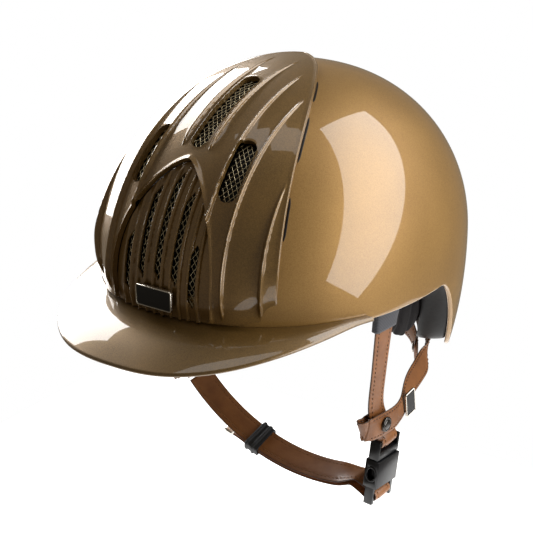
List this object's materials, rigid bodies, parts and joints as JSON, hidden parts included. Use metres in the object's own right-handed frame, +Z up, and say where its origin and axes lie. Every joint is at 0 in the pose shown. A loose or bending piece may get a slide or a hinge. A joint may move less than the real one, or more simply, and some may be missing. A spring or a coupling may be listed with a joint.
{
  "type": "equestrian riding helmet",
  "caption": "Riding helmet with a raised vented front panel, wide peak, padded lining and a leather harness closed by a side-release buckle.",
  "frame": {"origin": "inside the wearer's head, on the middle line, level with the rim over the ears, where the head sits in the helmet", "axes": "+Z up, -Y towards the peak and the wearer's front, +X towards the wearer's left"},
  "size_m": [0.2178, 0.3078, 0.2812],
  "materials": {
    "bronze_shell": "high-gloss metallic lacquer, gold bronze flake",
    "bronze_panel": "high-gloss metallic lacquer, gold bronze flake",
    "bronze_visor": "high-gloss metallic lacquer, gold bronze flake",
    "wire_mesh": "woven steel wire",
    "badge": "blank satin plate with a thin bright edge",
    "foam": "moulded black foam with a glossy skin",
    "lining": "black padded fabric",
    "leather": "tan leather, two rows of stitching",
    "webbing": "slate grey webbing",
    "steel": "dark plated steel",
    "rubber": "ribbed black rubber",
    "nylon": "black moulded nylon"
  },
  "bodies": {
    "helmet": {"outer_shell": "bronze_shell", "front_panel": "bronze_panel", "front_grille": "bronze_panel", "visor": "bronze_visor", "grille_mesh": "wire_mesh", "top_vent_mesh": "wire_mesh", "left_vent_mesh": "wire_mesh", "right_vent_mesh": "wire_mesh", "badge_plate": "badge", "left_label": "badge", "right_label": "badge", "eps_liner": "foam", "comfort_headband": "lining", "crown_pad": "lining", "left_neck_pad": "lining", "right_neck_pad": "lining", "nape_pad": "lining", "left_front_strap": "leather", "right_front_strap": "leather", "left_rear_strap": "leather", "right_rear_strap": "leather", "nape_strap": "leather", "left_strap_sleeve": "webbing", "right_strap_sleeve": "webbing", "left_stud_cap": "steel", "right_stud_cap": "steel", "left_nape_eyelet": "steel", "right_nape_eyelet": "steel", "left_front_anchor": "steel", "right_front_anchor": "steel", "left_rear_anchor": "steel", "right_rear_anchor": "steel", "buckle_insert": "nylon"},
    "chin_strap": {"chin_strap": "leather", "strap_tip": "steel", "buckle_socket": "nylon"},
    "keeper": {"chin_keeper": "rubber"},
    "prong_front": {"prong_front": "nylon"},
    "prong_rear": {"prong_rear": "nylon"},
    "left_flap": {"left_divider_flap": "leather", "left_stud_socket": "steel"},
    "right_flap": {"right_divider_flap": "leather", "right_stud_socket": "steel"}
  },
  "joints": [
    {"name": "buckle_release", "type": "slide", "parent": "helmet", "child": "chin_strap", "axis": [-0.0848, -0.0775, -0.9934], "range_m": [0, 0.022]},
    {"name": "keeper_slide", "type": "hinge", "parent": "chin_strap", "child": "keeper", "pos_m": [0.035, -0.016, -0.0078], "axis": [0, -1, 0], "range_deg": [-2, 24]},
    {"name": "prong_front_squeeze", "type": "hinge", "parent": "helmet", "child": "prong_front", "pos_m": [0.08702, -0.02152, -0.11152], "axis": [0.9964, 0, -0.0851], "range_deg": [0, 6], "stiffness_Nm_per_rad": 0.05},
    {"name": "prong_rear_squeeze", "type": "hinge", "parent": "helmet", "child": "prong_rear", "pos_m": [0.08691, -0.00597, -0.11272], "axis": [0.9964, 0, -0.0851], "range_deg": [-6, 0], "stiffness_Nm_per_rad": 0.05},
    {"name": "left_flap_open", "type": "hinge", "parent": "helmet", "child": "left_flap", "pos_m": [0.0876, -0.0394, -0.0837], "axis": [0.0902, -0.0802, -0.9927], "range_deg": [-110, 0]},
    {"name": "right_flap_open", "type": "hinge", "parent": "helmet", "child": "right_flap", "pos_m": [-0.07344, -0.02896, -0.08659], "axis": [-0.5878, 0, 0.809], "range_deg": [-110, 0]}
  ]
}
